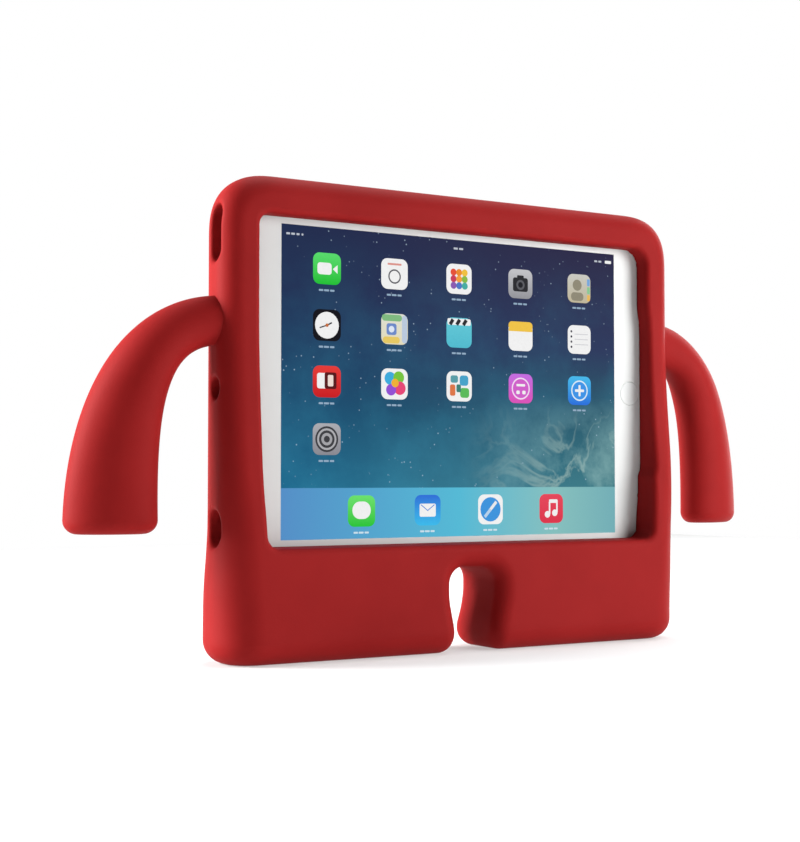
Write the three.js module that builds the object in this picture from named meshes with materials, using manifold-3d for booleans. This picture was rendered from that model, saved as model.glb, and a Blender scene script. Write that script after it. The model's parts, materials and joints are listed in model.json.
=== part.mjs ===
// A child-proof foam tablet case with two bent arms and two feet, and the small tablet that it holds.
// Millimetres. X runs along the case, Y from front to back, Z up. The origin is on the floor, at the
// middle of the case's footprint.
import * as THREE from "three";
import { mergeVertices } from "three/addons/utils/BufferGeometryUtils.js";
import Module from "manifold-3d";

const wasm = await Module();
wasm.setup();

// ---------------------------------------------------------------- driving dimensions
const GAP = 0.3; // air left between neighbouring pieces

const TABLET = { width: 200, height: 134.7, depth: 7.5, corner: 10, backRound: 3 };
const HOUSING = { backWall: 1, edgeWall: 1.2, cove: 1.5 };
const GLASS = { inset: 1.5, thickness: 1 };
const DISPLAY = { halfX: 81, halfZ: 61, thickness: 1.6 };
const SCREEN_Z = 106; // height of the tablet's centre
const GLASS_Y = -5; // front face of the tablet's glass
const TABLET_BACK_Y = GLASS_Y + TABLET.depth;
const LEFT_EDGE_X = -TABLET.width / 2;
const RIGHT_EDGE_X = TABLET.width / 2;
const TOP_EDGE_Z = SCREEN_Z + TABLET.height / 2;
const EDGE_Y = GLASS_Y + 3.4; // centre plane of the ports and buttons in the tablet's edge
const OPENING_Y = EDGE_Y - 0.4; // centre plane of the foam's openings around them

const CASE = { halfWidth: 108.3, height: 183.3, frontY: -18, backY: 18 };
const CASE_CORNER = { top: 15, bottom: 8 };
const FRONT_ROUND = { foot: 7, side: 12 }; // edge radius at the floor, and from foot height upwards
const BACK_ROUND = { foot: 7, side: 14 };
const FOOT_HEIGHT = 40;
const FRONT_LEAN = 0.03; // how far the front leans back for each millimetre of height
const FAR = 60; // reach of a cutter past the case

const POCKET_CLEARANCE = 0.9;
// Openings in the foam: width across the case's depth, and length along its edge.
const POWER_OPENING = { width: 7, length: 21.4 };
const MICROPHONE_OPENING = { width: 8.5, length: 8.6 };
const JACK_OPENING = { width: 11, length: 15.6 };
const VOLUME_OPENING = { width: 8, length: 44 };
const CHARGING_OPENING = { width: 8, length: 45, z: SCREEN_Z - 13.5 };
const CAMERA_OPENING = { innerRadius: 6.5, outerRadius: 12 };
const WINDOW = { width: 187, height: 126.2, corner: 4, centreX: -0.5 };
const LEG_GAP = { width: 21, neck: 18, top: 33, flare: 10 };
const FOOT_TOP_Z = LEG_GAP.top - LEG_GAP.width / 2;

const ARM = { rootX: 107.5, rootZ: 128, y: -2, halfDepth: 11, sweep: 0.23, tipRound: 5 };
const KNUCKLE = { x: 113, radius: 8.8, halfLength: 9.5, segments: 28 };

// The tablet's buttons and ports.
const POWER = { z: SCREEN_Z + 54.9, length: 9.6, width: 2.6 };
const VOLUME = { upX: -62, downX: -48, length: 11, width: 2.6 };
const MUTE = { x: -77, length: 4.6, width: 2, slot: 7.6, flange: 3.4 };
const BUTTON = { proud: 0.4, depth: 2.6, flangeWidth: 1, flangeLength: 2 };
const SWITCH = { gap: 1, depth: 2, halfWidth: 1, halfLength: 4 };
const JACK_Z = SCREEN_Z - 55.5;
const JACK = { z: JACK_Z, bore: 3.6, boreDepth: 11, depth: 12, halfLength: 3, front: 2.1, back: 2.6 };
const MICROPHONE = { z: SCREEN_Z - 3.4, hole: 1.2, depth: 3, halfWidth: 1, halfLength: 2 };
const CHARGER = { width: 2.6, length: 9, depth: 6, endWall: 1, halfLength: 5.5, front: 1.6, back: 2 };
const SPEAKER = { offset: 27, slotWidth: 1.8, slotLength: 14, depth: 12, halfWidth: 2, halfLength: 9 };
const PORT_INSET = 3; // from the tablet's edge to the parts behind its holes
const REAR_CAMERA = { x: -90.7, z: SCREEN_Z + 58, radius: 3.6, cover: 1.1, front: -2 };
const FRONT_CAMERA = { x: -90, radius: 2.2, depth: 2.3 };
const HOME = { x: 88.6, radius: 4.9, sunk: 0.1, thickness: 1, stemRadius: 1.8, stemLength: 0.5 };
const HOME_SWITCH = { front: 2.5, back: 3.5, left: 3, right: 2, halfHeight: 4 };
const BATTERY = { innerX: 1, outerX: 58, front: 3.2, halfHeight: 50 };
const BOARD_Y = { front: 0, back: 1 };
const LOGIC_BOARD = { lowX: -80, highX: -61, halfHeight: 50 };
const PORT_BOARD = { lowX: 62, highX: 84, halfHeight: 40 };

// ---------------------------------------------------------------- solids
function toSolid(geometry) {
  const bare = geometry.clone();
  bare.deleteAttribute("normal");
  bare.deleteAttribute("uv");
  const merged = mergeVertices(bare, 1e-4);
  const vertProperties = new Float32Array(merged.attributes.position.array);
  const triVerts = new Uint32Array(merged.index.array);
  return new wasm.Manifold(new wasm.Mesh({ numProp: 3, vertProperties, triVerts }));
}

function toGeometry(manifold) {
  const { vertProperties, triVerts } = manifold.getMesh();
  const geometry = new THREE.BufferGeometry();
  geometry.setAttribute("position", new THREE.BufferAttribute(vertProperties, 3));
  geometry.setIndex(new THREE.BufferAttribute(triVerts, 1));
  return geometry;
}

const cut = (solid, ...tools) => tools.reduce((left, tool) => left.subtract(tool), solid);
const join = (...solids) => solids.reduce((sum, next) => sum.add(next));

// Joins rings of points, equal in number, into a closed skin with a fan over each end ring.
function loft(rings) {
  const count = rings[0].length;
  const middle = (ring) => ring.reduce((sum, p) => sum.add(p), new THREE.Vector3()).divideScalar(count);
  const points = [...rings.flat(), middle(rings[0]), middle(rings[rings.length - 1])];
  const firstCentre = rings.length * count;
  const lastRing = (rings.length - 1) * count;
  const index = [];
  for (let i = 0; i < count; i++) {
    const j = (i + 1) % count;
    index.push(firstCentre, j, i);
    index.push(firstCentre + 1, lastRing + i, lastRing + j);
    for (let start = 0; start < lastRing; start += count) {
      const [a, b] = [start + i, start + j];
      index.push(a, b, b + count, a, b + count, a + count);
    }
  }
  const geometry = new THREE.BufferGeometry().setFromPoints(points);
  geometry.setIndex(index);
  const solid = toSolid(geometry);
  if (solid.volume() > 0) return solid;
  geometry.setIndex(index.reverse());
  return toSolid(geometry);
}

function roundedRectangle(width, height, radius) {
  const [x, y] = [width / 2 - radius, height / 2 - radius];
  const shape = new THREE.Shape();
  shape.absarc(x, y, radius, 0, Math.PI / 2, false);
  shape.absarc(-x, y, radius, Math.PI / 2, Math.PI, false);
  shape.absarc(-x, -y, radius, Math.PI, Math.PI * 1.5, false);
  shape.absarc(x, -y, radius, Math.PI * 1.5, Math.PI * 2, false);
  shape.closePath();
  return shape;
}

// A prism of an X-Z outline between two depths. The outline's own origin lands on x, z.
function plate(outline, frontY, backY, x = 0, z = 0, segments = 6) {
  const options = { depth: backY - frontY, bevelEnabled: false, curveSegments: segments };
  const geometry = new THREE.ExtrudeGeometry(outline, options);
  return toSolid(geometry.rotateX(Math.PI / 2).translate(x, backY, z));
}

function block(lowX, highX, lowY, highY, lowZ, highZ) {
  const geometry = new THREE.BoxGeometry(highX - lowX, highY - lowY, highZ - lowZ);
  geometry.translate((lowX + highX) / 2, (lowY + highY) / 2, (lowZ + highZ) / 2);
  return toSolid(geometry);
}

// A round bar along Y, from a front radius to a back radius.
function barY(x, z, frontRadius, backRadius, frontY, backY, segments = 24) {
  const geometry = new THREE.CylinderGeometry(backRadius, frontRadius, backY - frontY, segments);
  return toSolid(geometry.translate(x, (frontY + backY) / 2, z));
}

// A bar along X with a rounded Y-Z section.
function barX(lowX, highX, y, z, sizeY, sizeZ, segments = 6) {
  const radius = Math.min(sizeY, sizeZ) / 2 - 0.01;
  const options = { depth: highX - lowX, bevelEnabled: false, curveSegments: segments };
  const geometry = new THREE.ExtrudeGeometry(roundedRectangle(sizeZ, sizeY, radius), options);
  return toSolid(geometry.rotateY(Math.PI / 2).translate(lowX, y, z));
}

// A bar along Z with a rounded X-Y section.
function barZ(lowZ, highZ, x, y, sizeX, sizeY, segments = 6) {
  const radius = Math.min(sizeX, sizeY) / 2 - 0.01;
  const options = { depth: highZ - lowZ, bevelEnabled: false, curveSegments: segments };
  const geometry = new THREE.ExtrudeGeometry(roundedRectangle(sizeX, sizeY, radius), options);
  return toSolid(geometry.translate(x, y, lowZ));
}

// ---------------------------------------------------------------- named meshes
const part = new THREE.Group();

function add(name, solid, material) {
  const mesh = new THREE.Mesh(toGeometry(solid), material);
  mesh.name = name;
  part.add(mesh);
}

const finish = (color, roughness, metalness = 0) =>
  new THREE.MeshStandardMaterial({ color, roughness, metalness });

const FOAM = finish(0xb3262a, 0.75);
const ALUMINIUM = finish(0xc9cacd, 0.35, 0.9);
const WHITE_GLASS = finish(0xe6e4e3, 0.12);
const SCREEN = finish(0x1f2c4d, 0.15);
const WHITE_PLASTIC = finish(0xf1f0ee, 0.3);
const BLACK_PLASTIC = finish(0x1b1b1d, 0.5);
const LENS = finish(0x0c0d12, 0.05);
const BOARD = finish(0x1d4a33, 0.6);
const FOIL = finish(0x3a3b3f, 0.4, 0.5);
const STEEL = finish(0xa9abb0, 0.35, 1);

// ---------------------------------------------------------------- foam case
// The case's X-Z outline: each entry is a point and the direction out of the case there.
function caseOutline() {
  const { top, bottom } = CASE_CORNER;
  const x = CASE.halfWidth;
  const corners = [
    { x: x - top, z: CASE.height - top, radius: top, from: 0, steps: 7 },
    { x: top - x, z: CASE.height - top, radius: top, from: 90, steps: 7 },
    { x: bottom - x, z: bottom, radius: bottom, from: 180, steps: 4 },
    { x: x - bottom, z: bottom, radius: bottom, from: 270, steps: 4 },
  ];
  return corners.flatMap((corner) =>
    Array.from({ length: corner.steps + 1 }, (_, i) => {
      const angle = THREE.MathUtils.degToRad(corner.from + (90 * i) / corner.steps);
      const out = new THREE.Vector3(Math.cos(angle), 0, Math.sin(angle));
      const point = new THREE.Vector3(corner.x, 0, corner.z).addScaledVector(out, corner.radius);
      return { point, out };
    }),
  );
}

// One ring of the case's rounded edge, from its face (turn 0) to its side (turn 1).
function edgeRing(outline, round, turn, depthAt) {
  const angle = (turn * Math.PI) / 2;
  return outline.map(({ point, out }) => {
    const radius = THREE.MathUtils.lerp(round.foot, round.side, Math.min(point.z / FOOT_HEIGHT, 1));
    const ringPoint = point.clone().addScaledVector(out, -radius * (1 - Math.sin(angle)));
    ringPoint.y = depthAt(ringPoint.z, radius * (1 - Math.cos(angle)));
    return ringPoint;
  });
}

// The whole case as one rounded block, with no hollow in it.
function caseBlock() {
  const steps = 4;
  const outline = caseOutline();
  const frontAt = (z, inward) => CASE.frontY + FRONT_LEAN * (z - FRONT_ROUND.foot) + inward;
  const backAt = (z, inward) => CASE.backY - inward;
  const rings = [];
  for (let i = 0; i <= steps; i++) rings.push(edgeRing(outline, FRONT_ROUND, i / steps, frontAt));
  for (let i = steps; i >= 0; i--) rings.push(edgeRing(outline, BACK_ROUND, i / steps, backAt));
  return loft(rings);
}

// The slot between the feet: round at the top, a little narrower at the neck, flared at the floor.
function legGap() {
  const { width, neck, top, flare } = LEG_GAP;
  const [side, half, springZ] = [neck / 2, width / 2, top - width / 2];
  const outline = new THREE.Shape();
  outline.moveTo(-side - flare, -1);
  outline.lineTo(side + flare, -1);
  outline.lineTo(side + flare, 0);
  outline.absarc(side + flare, flare, flare, -Math.PI / 2, -Math.PI, true);
  outline.lineTo(half, springZ);
  outline.absarc(0, springZ, half, 0, Math.PI, false);
  outline.lineTo(-side, flare);
  outline.absarc(-side - flare, flare, flare, 0, -Math.PI / 2, true);
  outline.closePath();
  return plate(outline, -FAR, FAR, 0, 0, 8);
}

const pocketOutline = (clearance) =>
  roundedRectangle(
    TABLET.width + 2 * clearance,
    TABLET.height + 2 * clearance,
    TABLET.corner + clearance,
  );

// Openings through the case to the tablet's buttons, ports and rear camera.
function caseOpenings() {
  const wallX = CASE.halfWidth + 10;
  const leftOpening = (z, { width, length }) => barX(-wallX, LEFT_EDGE_X + 1, OPENING_Y, z, width, length);
  const { innerRadius, outerRadius } = CAMERA_OPENING;
  const [charging, volume] = [CHARGING_OPENING, VOLUME_OPENING];
  const volumeX = (MUTE.x + VOLUME.downX) / 2;
  return [
    leftOpening(POWER.z, POWER_OPENING),
    leftOpening(MICROPHONE.z, MICROPHONE_OPENING),
    leftOpening(JACK.z, JACK_OPENING),
    barX(RIGHT_EDGE_X - 1, wallX, OPENING_Y, charging.z, charging.width, charging.length),
    barZ(TOP_EDGE_Z - 1, CASE.height + 5, volumeX, OPENING_Y, volume.length, volume.width),
    barY(REAR_CAMERA.x, REAR_CAMERA.z, innerRadius, outerRadius, TABLET_BACK_Y - 2, CASE.backY + 1),
  ];
}

// The sockets that the arms' knuckles sit in.
const armSocket = (side) =>
  barY(
    side * KNUCKLE.x,
    ARM.rootZ,
    KNUCKLE.radius + GAP,
    KNUCKLE.radius + GAP,
    ARM.y - KNUCKLE.halfLength - GAP,
    ARM.y + KNUCKLE.halfLength + GAP,
    KNUCKLE.segments,
  );

function buildCase() {
  const whole = cut(caseBlock(), legGap());
  const pocket = plate(pocketOutline(POCKET_CLEARANCE), -FAR, TABLET_BACK_Y + GAP, 0, SCREEN_Z);
  const aboveFeet = block(-FAR * 2, FAR * 2, -FAR, FAR, FOOT_TOP_Z + GAP / 2, CASE.height + 1);
  const openings = caseOpenings();
  const shell = cut(whole.intersect(aboveFeet), pocket, ...openings, armSocket(-1), armSocket(1));
  add("case_shell", shell, FOAM);

  const { width, height, corner, centreX } = WINDOW;
  const window = plate(roundedRectangle(width, height, corner), -FAR, FAR, centreX, SCREEN_Z);
  const rim = plate(pocketOutline(POCKET_CLEARANCE - GAP), -FAR, GLASS_Y - GAP, 0, SCREEN_Z);
  add("front_lip", cut(whole.intersect(rim), window), FOAM);

  for (const [name, lowX, highX] of [["left_foot", -FAR * 2, 0], ["right_foot", 0, FAR * 2]]) {
    const region = block(lowX, highX, -FAR, FAR, -1, FOOT_TOP_Z - GAP / 2);
    add(name, whole.intersect(region), FOAM);
  }
}

// ---------------------------------------------------------------- arms
// Each arm lies between an outer and an inner edge curve, drawn from the shoulder to the tip.
const ARM_OUTER = new THREE.CubicBezierCurve(
  new THREE.Vector2(0, 8.7),
  new THREE.Vector2(26.5, 8.7),
  new THREE.Vector2(51, -27),
  new THREE.Vector2(52.5, -75),
);
const ARM_INNER = new THREE.CubicBezierCurve(
  new THREE.Vector2(0, -9),
  new THREE.Vector2(14, -9),
  new THREE.Vector2(20, -24),
  new THREE.Vector2(19.5, -75),
);

function armRing(side, t, shrink, drop) {
  const count = 20;
  const [outer, inner] = [ARM_OUTER.getPoint(t), ARM_INNER.getPoint(t)];
  const middle = outer.clone().add(inner).multiplyScalar(0.5);
  const half = outer.clone().sub(inner).multiplyScalar(0.5);
  const scale = 1 - shrink / half.length();
  const depth = ARM.halfDepth - shrink;
  return Array.from({ length: count }, (_, i) => {
    const angle = (2 * Math.PI * i) / count;
    const across = Math.cos(angle) * scale;
    const x = ARM.rootX + middle.x + half.x * across;
    const y = ARM.y + ARM.sweep * (x - ARM.rootX) + Math.sin(angle) * depth;
    return new THREE.Vector3(side * x, y, ARM.rootZ + middle.y + half.y * across - drop);
  });
}

function arm(side) {
  const steps = 12;
  const rings = Array.from({ length: steps + 1 }, (_, i) => armRing(side, i / steps, 0, 0));
  const roundSteps = 3;
  for (let i = 1; i <= roundSteps; i++) {
    const angle = (i / roundSteps) * (Math.PI / 2);
    const shrink = ARM.tipRound * (1 - Math.cos(angle));
    rings.push(armRing(side, 1, shrink, ARM.tipRound * Math.sin(angle)));
  }
  const inboard = side < 0 ? [-KNUCKLE.x, 0] : [0, KNUCKLE.x];
  const trunk = cut(loft(rings), block(...inboard, -FAR, FAR, 0, CASE.height));
  const [front, back] = [ARM.y - KNUCKLE.halfLength, ARM.y + KNUCKLE.halfLength];
  const { x, radius, segments } = KNUCKLE;
  return join(trunk, barY(side * x, ARM.rootZ, radius, radius, front, back, segments));
}

// ---------------------------------------------------------------- tablet
// Cutters through the tablet's left, right and top edges.
const leftHole = (z, width, length, segments) =>
  barX(LEFT_EDGE_X - 2, LEFT_EDGE_X + 5, EDGE_Y, z, width, length, segments);
const rightHole = (z, width, length) =>
  barX(RIGHT_EDGE_X - 5, RIGHT_EDGE_X + 2, EDGE_Y, z, width, length, 4);
const topHole = (x, width, length) => barZ(TOP_EDGE_Z - 5, TOP_EDGE_Z + 2, x, EDGE_Y, length, width);

// The housing's outline, drawn in by an inset, at a depth.
function housingRing(inset, y) {
  const { width, height, corner } = TABLET;
  const outline = roundedRectangle(width - 2 * inset, height - 2 * inset, corner - inset);
  const points = outline.getPoints(6).slice(0, -1);
  return points.map((p) => new THREE.Vector3(p.x, y, p.y + SCREEN_Z));
}

function housingCavity(inset, frontY, backY) {
  const { width, height, corner } = TABLET;
  const outline = roundedRectangle(width - 2 * inset, height - 2 * inset, corner - inset);
  return plate(outline, frontY, backY, 0, SCREEN_Z);
}

function buildRearHousing() {
  const steps = 3;
  const rings = [housingRing(0, GLASS_Y + 0.4)];
  for (let i = steps; i >= 0; i--) {
    const angle = (i / steps) * (Math.PI / 2);
    const inset = TABLET.backRound * (1 - Math.sin(angle));
    rings.push(housingRing(inset, TABLET_BACK_Y - TABLET.backRound * (1 - Math.cos(angle))));
  }
  const { backWall, edgeWall, cove } = HOUSING;
  const insideY = TABLET_BACK_Y - backWall;
  const slack = 2 * GAP;
  const { flangeWidth, flangeLength } = BUTTON;
  const powerRelief = [POWER.width + flangeWidth + slack, POWER.length + flangeLength + slack];
  const cameraHole = REAR_CAMERA.radius + GAP;
  const tools = [
    housingCavity(edgeWall, -FAR, insideY - edgeWall),
    housingCavity(edgeWall + cove, 0, insideY),
    leftHole(POWER.z, POWER.width + slack, POWER.length + slack),
    barX(LEFT_EDGE_X + edgeWall, LEFT_EDGE_X + 5, EDGE_Y, POWER.z, ...powerRelief),
    leftHole(JACK.z, JACK.bore, JACK.bore + 0.1),
    leftHole(MICROPHONE.z, MICROPHONE.hole, MICROPHONE.hole + 0.1, 3),
    rightHole(SCREEN_Z, CHARGER.width, CHARGER.length),
    rightHole(SCREEN_Z - SPEAKER.offset, SPEAKER.slotWidth, SPEAKER.slotLength),
    rightHole(SCREEN_Z + SPEAKER.offset, SPEAKER.slotWidth, SPEAKER.slotLength),
    topHole(VOLUME.upX, VOLUME.width + slack, VOLUME.length + slack),
    topHole(VOLUME.downX, VOLUME.width + slack, VOLUME.length + slack),
    topHole(MUTE.x, MUTE.width + slack, MUTE.slot),
    barY(REAR_CAMERA.x, REAR_CAMERA.z, cameraHole, cameraHole, 0, FAR),
  ];
  add("rear_housing", cut(loft(rings), ...tools), ALUMINIUM);
}

function buildGlassAndDisplay() {
  const { inset, thickness } = GLASS;
  const [width, height] = [TABLET.width - 2 * inset, TABLET.height - 2 * inset];
  const outline = roundedRectangle(width, height, TABLET.corner - inset);
  const glass = plate(outline, GLASS_Y, GLASS_Y + thickness, 0, SCREEN_Z);
  const holeRadius = HOME.radius + GAP;
  const homeHole = barY(HOME.x, SCREEN_Z, holeRadius, holeRadius, -FAR, 0, 32);
  add("front_glass", cut(glass, homeHole), WHITE_GLASS);
  const { halfX, halfZ } = DISPLAY;
  const front = GLASS_Y + thickness + GAP;
  const display = block(-halfX, halfX, front, front + DISPLAY.thickness, SCREEN_Z - halfZ, SCREEN_Z + halfZ);
  add("display_panel", display, SCREEN);
}

function buildHomeButton() {
  const { x, radius, sunk, thickness, stemRadius, stemLength } = HOME;
  const capBack = GLASS_Y + sunk + thickness;
  const cap = barY(x, SCREEN_Z, radius, radius, GLASS_Y + sunk, capBack, 32);
  const stem = barY(x, SCREEN_Z, stemRadius, stemRadius, capBack - 0.1, capBack + stemLength, 16);
  add("home_button", join(cap, stem), WHITE_PLASTIC);
  const { left, right, halfHeight } = HOME_SWITCH;
  const [front, back] = [GLASS_Y + HOME_SWITCH.front, GLASS_Y + HOME_SWITCH.back];
  const holder = block(x - left, x + right, front, back, SCREEN_Z - halfHeight, SCREEN_Z + halfHeight);
  add("home_button_switch", holder, BLACK_PLASTIC);
}

function buildPowerButton() {
  const { width, length, z } = POWER;
  const [inX, outX] = [LEFT_EDGE_X + BUTTON.depth, LEFT_EDGE_X - BUTTON.proud];
  const flangeX = LEFT_EDGE_X + HOUSING.edgeWall + GAP;
  const cap = barX(outX, inX, EDGE_Y, z, width, length);
  const flange = barX(flangeX, inX, EDGE_Y, z, width + BUTTON.flangeWidth, length + BUTTON.flangeLength);
  add("power_button", join(cap, flange), ALUMINIUM);
  const { gap, depth, halfWidth, halfLength } = SWITCH;
  const [front, back] = [EDGE_Y - halfWidth, EDGE_Y + halfWidth];
  const dome = block(inX + gap, inX + gap + depth, front, back, z - halfLength, z + halfLength);
  add("power_switch", dome, BLACK_PLASTIC);
}

function buildTopButtons() {
  const [inZ, outZ] = [TOP_EDGE_Z - BUTTON.depth, TOP_EDGE_Z + BUTTON.proud];
  const flangeZ = TOP_EDGE_Z - HOUSING.edgeWall - GAP;
  const flangeLength = 1.4;
  for (const [name, x] of [["volume_up_button", VOLUME.upX], ["volume_down_button", VOLUME.downX]]) {
    const cap = barZ(inZ, outZ, x, EDGE_Y, VOLUME.length, VOLUME.width);
    const size = [VOLUME.length + flangeLength, VOLUME.width + BUTTON.flangeWidth];
    add(name, join(cap, barZ(inZ, flangeZ, x, EDGE_Y, ...size)), ALUMINIUM);
  }
  const { gap, depth, halfWidth, halfLength } = SWITCH;
  const [lowX, highX] = [VOLUME.upX - halfLength, VOLUME.downX + halfLength];
  const [front, back] = [EDGE_Y - halfWidth, EDGE_Y + halfWidth];
  add("volume_switch", block(lowX, highX, front, back, inZ - gap - depth, inZ - gap), BLACK_PLASTIC);

  const sliderX = MUTE.x - 1;
  const slider = barZ(inZ, outZ - 0.1, sliderX, EDGE_Y, MUTE.length, MUTE.width);
  const baseSize = [MUTE.length + MUTE.flange, MUTE.width + BUTTON.flangeWidth];
  add("mute_switch", join(slider, barZ(inZ, flangeZ, sliderX, EDGE_Y, ...baseSize)), ALUMINIUM);
}

function buildLeftPorts() {
  const x = LEFT_EDGE_X + PORT_INSET;
  const [jackFront, jackBack] = [EDGE_Y - JACK.front, EDGE_Y + JACK.back];
  const [jackLow, jackHigh] = [JACK.z - JACK.halfLength, JACK.z + JACK.halfLength];
  const body = block(x, x + JACK.depth, jackFront, jackBack, jackLow, jackHigh);
  const bore = barX(x - 1, x + JACK.boreDepth, EDGE_Y, JACK.z, JACK.bore, JACK.bore + 0.1);
  add("headphone_jack", cut(body, bore), BLACK_PLASTIC);

  const { z, depth, halfWidth, halfLength } = MICROPHONE;
  const [front, back] = [EDGE_Y - halfWidth, EDGE_Y + halfWidth];
  add("microphone", block(x, x + depth, front, back, z - halfLength, z + halfLength), STEEL);
}

function buildRightPorts() {
  const x = RIGHT_EDGE_X - PORT_INSET;
  const { depth, endWall, halfLength } = CHARGER;
  const [front, back] = [EDGE_Y - CHARGER.front, EDGE_Y + CHARGER.back];
  const socket = block(x - depth, x, front, back, SCREEN_Z - halfLength, SCREEN_Z + halfLength);
  const mouth = barX(x - depth + endWall, x + 1, EDGE_Y, SCREEN_Z, CHARGER.width, CHARGER.length);
  add("charging_port", cut(socket, mouth), STEEL);

  for (const [name, side] of [["lower_speaker", -1], ["upper_speaker", 1]]) {
    const z = SCREEN_Z + side * SPEAKER.offset;
    const [lowZ, highZ] = [z - SPEAKER.halfLength, z + SPEAKER.halfLength];
    const [near, far] = [EDGE_Y - SPEAKER.halfWidth, EDGE_Y + SPEAKER.halfWidth];
    add(name, block(x - SPEAKER.depth, x, near, far, lowZ, highZ), BLACK_PLASTIC);
  }
}

function buildCameras() {
  const { x, z, radius, cover } = REAR_CAMERA;
  add("rear_camera_lens", barY(x, z, radius, radius, TABLET_BACK_Y - cover, TABLET_BACK_Y), LENS);
  const barrel = radius - 0.4;
  const barrelBack = TABLET_BACK_Y - cover - GAP;
  add("rear_camera", barY(x, z, barrel, barrel, REAR_CAMERA.front, barrelBack), BLACK_PLASTIC);
  const front = GLASS_Y + GLASS.thickness + GAP;
  const eye = FRONT_CAMERA.radius;
  add("front_camera", barY(FRONT_CAMERA.x, SCREEN_Z, eye, eye, front, front + FRONT_CAMERA.depth, 20), LENS);
}

function buildInside() {
  const [front, back] = [GLASS_Y + BATTERY.front, TABLET_BACK_Y - HOUSING.backWall - GAP];
  const { innerX, outerX } = BATTERY;
  const [lowZ, highZ] = [SCREEN_Z - BATTERY.halfHeight, SCREEN_Z + BATTERY.halfHeight];
  add("left_battery_cell", block(-outerX, -innerX, front, back, lowZ, highZ), FOIL);
  add("right_battery_cell", block(innerX, outerX, front, back, lowZ, highZ), FOIL);
  for (const [name, board] of [["logic_board", LOGIC_BOARD], ["port_board", PORT_BOARD]]) {
    const [low, high] = [SCREEN_Z - board.halfHeight, SCREEN_Z + board.halfHeight];
    add(name, block(board.lowX, board.highX, BOARD_Y.front, BOARD_Y.back, low, high), BOARD);
  }
}

buildCase();
add("left_arm", arm(-1), FOAM);
add("right_arm", arm(1), FOAM);
buildRearHousing();
buildGlassAndDisplay();
buildHomeButton();
buildPowerButton();
buildTopButtons();
buildLeftPorts();
buildRightPorts();
buildCameras();
buildInside();

export default part;
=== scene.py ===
import json
import math

import bpy
import numpy as np
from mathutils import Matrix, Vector


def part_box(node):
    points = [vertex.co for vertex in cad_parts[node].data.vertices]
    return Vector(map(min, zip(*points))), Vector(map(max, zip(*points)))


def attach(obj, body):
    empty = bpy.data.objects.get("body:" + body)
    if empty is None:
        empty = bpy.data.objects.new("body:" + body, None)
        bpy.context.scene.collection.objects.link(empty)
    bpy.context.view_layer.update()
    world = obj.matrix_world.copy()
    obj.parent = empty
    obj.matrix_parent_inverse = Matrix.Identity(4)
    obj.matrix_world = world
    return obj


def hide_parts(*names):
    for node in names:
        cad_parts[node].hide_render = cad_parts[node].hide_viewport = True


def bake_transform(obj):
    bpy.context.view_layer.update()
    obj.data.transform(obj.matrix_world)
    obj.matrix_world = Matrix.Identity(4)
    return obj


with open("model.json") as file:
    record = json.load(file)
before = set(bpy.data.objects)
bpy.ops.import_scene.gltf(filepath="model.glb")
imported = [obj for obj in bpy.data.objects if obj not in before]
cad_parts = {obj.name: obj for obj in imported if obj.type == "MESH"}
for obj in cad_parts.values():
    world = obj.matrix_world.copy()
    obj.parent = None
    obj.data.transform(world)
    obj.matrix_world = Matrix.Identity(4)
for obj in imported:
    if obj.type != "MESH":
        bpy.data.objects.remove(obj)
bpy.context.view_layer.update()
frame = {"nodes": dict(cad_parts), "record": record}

# A red foam tablet case with bent arms and feet, with a small white tablet in it.
# Blender works in metres. The shape functions below work in millimetres, in the same frame.
MM = 0.001


# ---------------------------------------------------------------- places taken from the frame
def box_mm(node):
    low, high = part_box(node)
    return np.array(low) / MM, np.array(high) / MM


def opening_mm(name):
    """The centre and half-sizes of one of the record's openings."""
    boxes = {o["name"]: o["box_m"] for o in frame["record"]["physics"]["openings"]}
    low, high = (np.array(corner) / MM for corner in boxes[name])
    return (low + high) / 2, (high - low) / 2


_, SHELL_HIGH = box_mm("case_shell")
FOOT_LOW, _ = box_mm("left_foot")
GLASS_LOW, GLASS_HIGH = box_mm("front_glass")
TABLET_LOW, TABLET_HIGH = box_mm("rear_housing")
HALF_WIDTH = SHELL_HIGH[0]
TOP_Z = SHELL_HIGH[2]
BACK_Y = SHELL_HIGH[1]
FRONT_Y = FOOT_LOW[1]
GLASS_Y = GLASS_LOW[1]
SCREEN_Z = (GLASS_LOW[2] + GLASS_HIGH[2]) / 2
SCREEN_HALF = (80.25, 60.2)  # half the lit screen, across and up


# ---------------------------------------------------------------- shape functions
def smooth(start, end, value):
    """0 before start, 1 after end, and a smooth step between them."""
    t = np.clip((value - start) / (end - start), 0, 1)
    return t * t * (3 - 2 * t)


def mix(a, b, share):
    return a + (b - a) * share


def rounded(u, v, half_u, half_v, radius, power=2.0):
    """Distance to a rounded rectangle in two axes. A power above 2 gives squarer, softer corners."""
    over_u = np.abs(u) - half_u + radius
    over_v = np.abs(v) - half_v + radius
    corner = (np.maximum(over_u, 0) ** power + np.maximum(over_v, 0) ** power) ** (1 / power)
    return np.minimum(np.maximum(over_u, over_v), 0) + corner - radius


def both(a, b, radius):
    """The overlap of two shapes, with their meeting edge rounded to a radius."""
    outside = np.hypot(np.maximum(a + radius, 0), np.maximum(b + radius, 0))
    return np.minimum(-radius, np.maximum(a, b)) + outside


def without(shape, hole, radius):
    """A shape with a hole cut in it, and the hole's rim rounded to a radius."""
    return both(shape, -hole, radius)


def rising(change, z):
    """A value that changes smoothly between two heights, from low down to high up."""
    return mix(change["low"], change["high"], smooth(change["from"], change["to"], z))


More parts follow.
